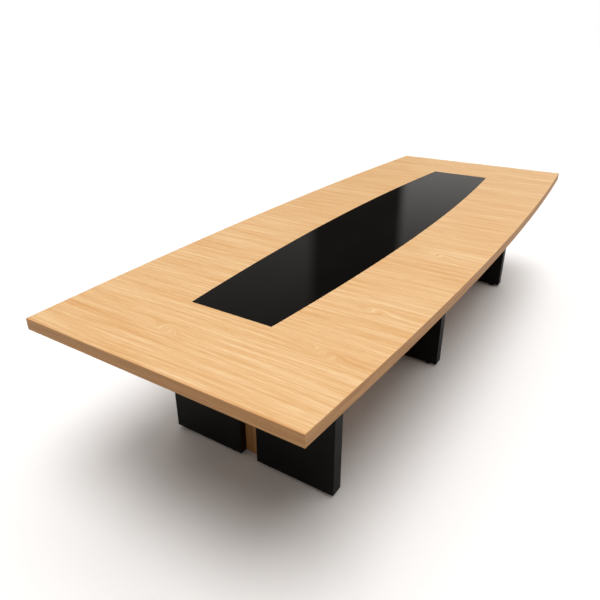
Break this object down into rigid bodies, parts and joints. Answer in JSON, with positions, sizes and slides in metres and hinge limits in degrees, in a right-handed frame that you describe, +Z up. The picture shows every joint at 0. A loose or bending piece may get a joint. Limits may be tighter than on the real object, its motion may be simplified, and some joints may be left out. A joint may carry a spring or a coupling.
{
  "type": "conference table",
  "caption": "Boat-shaped conference table with an oak-look top, flush black glass inlay, paired black panel legs on levelling feet and a brown wooden spine between them.",
  "frame": {"origin": "on the floor, under the middle of the top", "axes": "+X along the table to its far end, +Y to its left as seen from the near end, +Z up"},
  "size_m": [3.5, 1.31, 0.75],
  "materials": {
    "oak_top": "satin oak-look laminate, grain across the table",
    "oak_edge": "satin oak-look edge band",
    "chipboard": "raw chipboard",
    "spine_wood": "satin brown wood",
    "spacer_wood": "sawn softwood",
    "black_glass": "polished, painted black on its back",
    "foam_tape": "matte foam",
    "black_laminate": "satin black laminate on board",
    "black_steel": "satin black powder coat",
    "zinc_steel": "zinc plated",
    "foot_nylon": "moulded black nylon on a steel stem"
  },
  "bodies": {
    "table": {"top_board_near": "oak_top", "end_band_near": "oak_edge", "end_strip_near": "chipboard", "spine_end_near": "spine_wood", "side_band_near_left": "oak_edge", "side_strip_near_left": "chipboard", "side_band_near_right": "oak_edge", "side_strip_near_right": "chipboard", "top_board_far": "oak_top", "end_band_far": "oak_edge", "end_strip_far": "chipboard", "spine_end_far": "spine_wood", "side_band_far_left": "oak_edge", "side_strip_far_left": "chipboard", "side_band_far_right": "oak_edge", "side_strip_far_right": "chipboard", "glass_inlay": "black_glass", "inlay_tape_left": "foam_tape", "joining_plate_left": "zinc_steel", "spine_board_left": "spine_wood", "inlay_tape_right": "foam_tape", "joining_plate_right": "zinc_steel", "spine_board_right": "spine_wood", "spine_spacer_near": "spacer_wood", "leg_near_left": "black_laminate", "top_angle_near_left": "black_steel", "corner_angle_near_left": "black_steel", "leg_near_right": "black_laminate", "top_angle_near_right": "black_steel", "corner_angle_near_right": "black_steel", "spine_spacer_middle": "spacer_wood", "leg_middle_left": "black_laminate", "top_angle_middle_left": "black_steel", "corner_angle_middle_left": "black_steel", "leg_middle_right": "black_laminate", "top_angle_middle_right": "black_steel", "corner_angle_middle_right": "black_steel", "spine_spacer_far": "spacer_wood", "leg_far_left": "black_laminate", "top_angle_far_left": "black_steel", "corner_angle_far_left": "black_steel", "leg_far_right": "black_laminate", "top_angle_far_right": "black_steel", "corner_angle_far_right": "black_steel"},
    "foot_near_left_outer": {"foot_near_left_outer": "foot_nylon"},
    "foot_near_left_inner": {"foot_near_left_inner": "foot_nylon"},
    "foot_near_right_outer": {"foot_near_right_outer": "foot_nylon"},
    "foot_near_right_inner": {"foot_near_right_inner": "foot_nylon"},
    "foot_middle_left_outer": {"foot_middle_left_outer": "foot_nylon"},
    "foot_middle_left_inner": {"foot_middle_left_inner": "foot_nylon"},
    "foot_middle_right_outer": {"foot_middle_right_outer": "foot_nylon"},
    "foot_middle_right_inner": {"foot_middle_right_inner": "foot_nylon"},
    "foot_far_left_outer": {"foot_far_left_outer": "foot_nylon"},
    "foot_far_left_inner": {"foot_far_left_inner": "foot_nylon"},
    "foot_far_right_outer": {"foot_far_right_outer": "foot_nylon"},
    "foot_far_right_inner": {"foot_far_right_inner": "foot_nylon"}
  },
  "joints": [
    {"name": "foot_near_left_outer_screw", "type": "slide", "parent": "table", "child": "foot_near_left_outer", "axis": [0, 0, -1], "range_m": [0, 0.02]},
    {"name": "foot_near_left_inner_screw", "type": "slide", "parent": "table", "child": "foot_near_left_inner", "axis": [0, 0, -1], "range_m": [0, 0.02]},
    {"name": "foot_near_right_outer_screw", "type": "slide", "parent": "table", "child": "foot_near_right_outer", "axis": [0, 0, -1], "range_m": [0, 0.02]},
    {"name": "foot_near_right_inner_screw", "type": "slide", "parent": "table", "child": "foot_near_right_inner", "axis": [0, 0, -1], "range_m": [0, 0.02]},
    {"name": "foot_middle_left_outer_screw", "type": "slide", "parent": "table", "child": "foot_middle_left_outer", "axis": [0, 0, -1], "range_m": [0, 0.02]},
    {"name": "foot_middle_left_inner_screw", "type": "slide", "parent": "table", "child": "foot_middle_left_inner", "axis": [0, 0, -1], "range_m": [0, 0.02]},
    {"name": "foot_middle_right_outer_screw", "type": "slide", "parent": "table", "child": "foot_middle_right_outer", "axis": [0, 0, -1], "range_m": [0, 0.02]},
    {"name": "foot_middle_right_inner_screw", "type": "slide", "parent": "table", "child": "foot_middle_right_inner", "axis": [0, 0, -1], "range_m": [0, 0.02]},
    {"name": "foot_far_left_outer_screw", "type": "slide", "parent": "table", "child": "foot_far_left_outer", "axis": [0, 0, -1], "range_m": [0, 0.02]},
    {"name": "foot_far_left_inner_screw", "type": "slide", "parent": "table", "child": "foot_far_left_inner", "axis": [0, 0, -1], "range_m": [0, 0.02]},
    {"name": "foot_far_right_outer_screw", "type": "slide", "parent": "table", "child": "foot_far_right_outer", "axis": [0, 0, -1], "range_m": [0, 0.02]},
    {"name": "foot_far_right_inner_screw", "type": "slide", "parent": "table", "child": "foot_far_right_inner", "axis": [0, 0, -1], "range_m": [0, 0.02]}
  ]
}
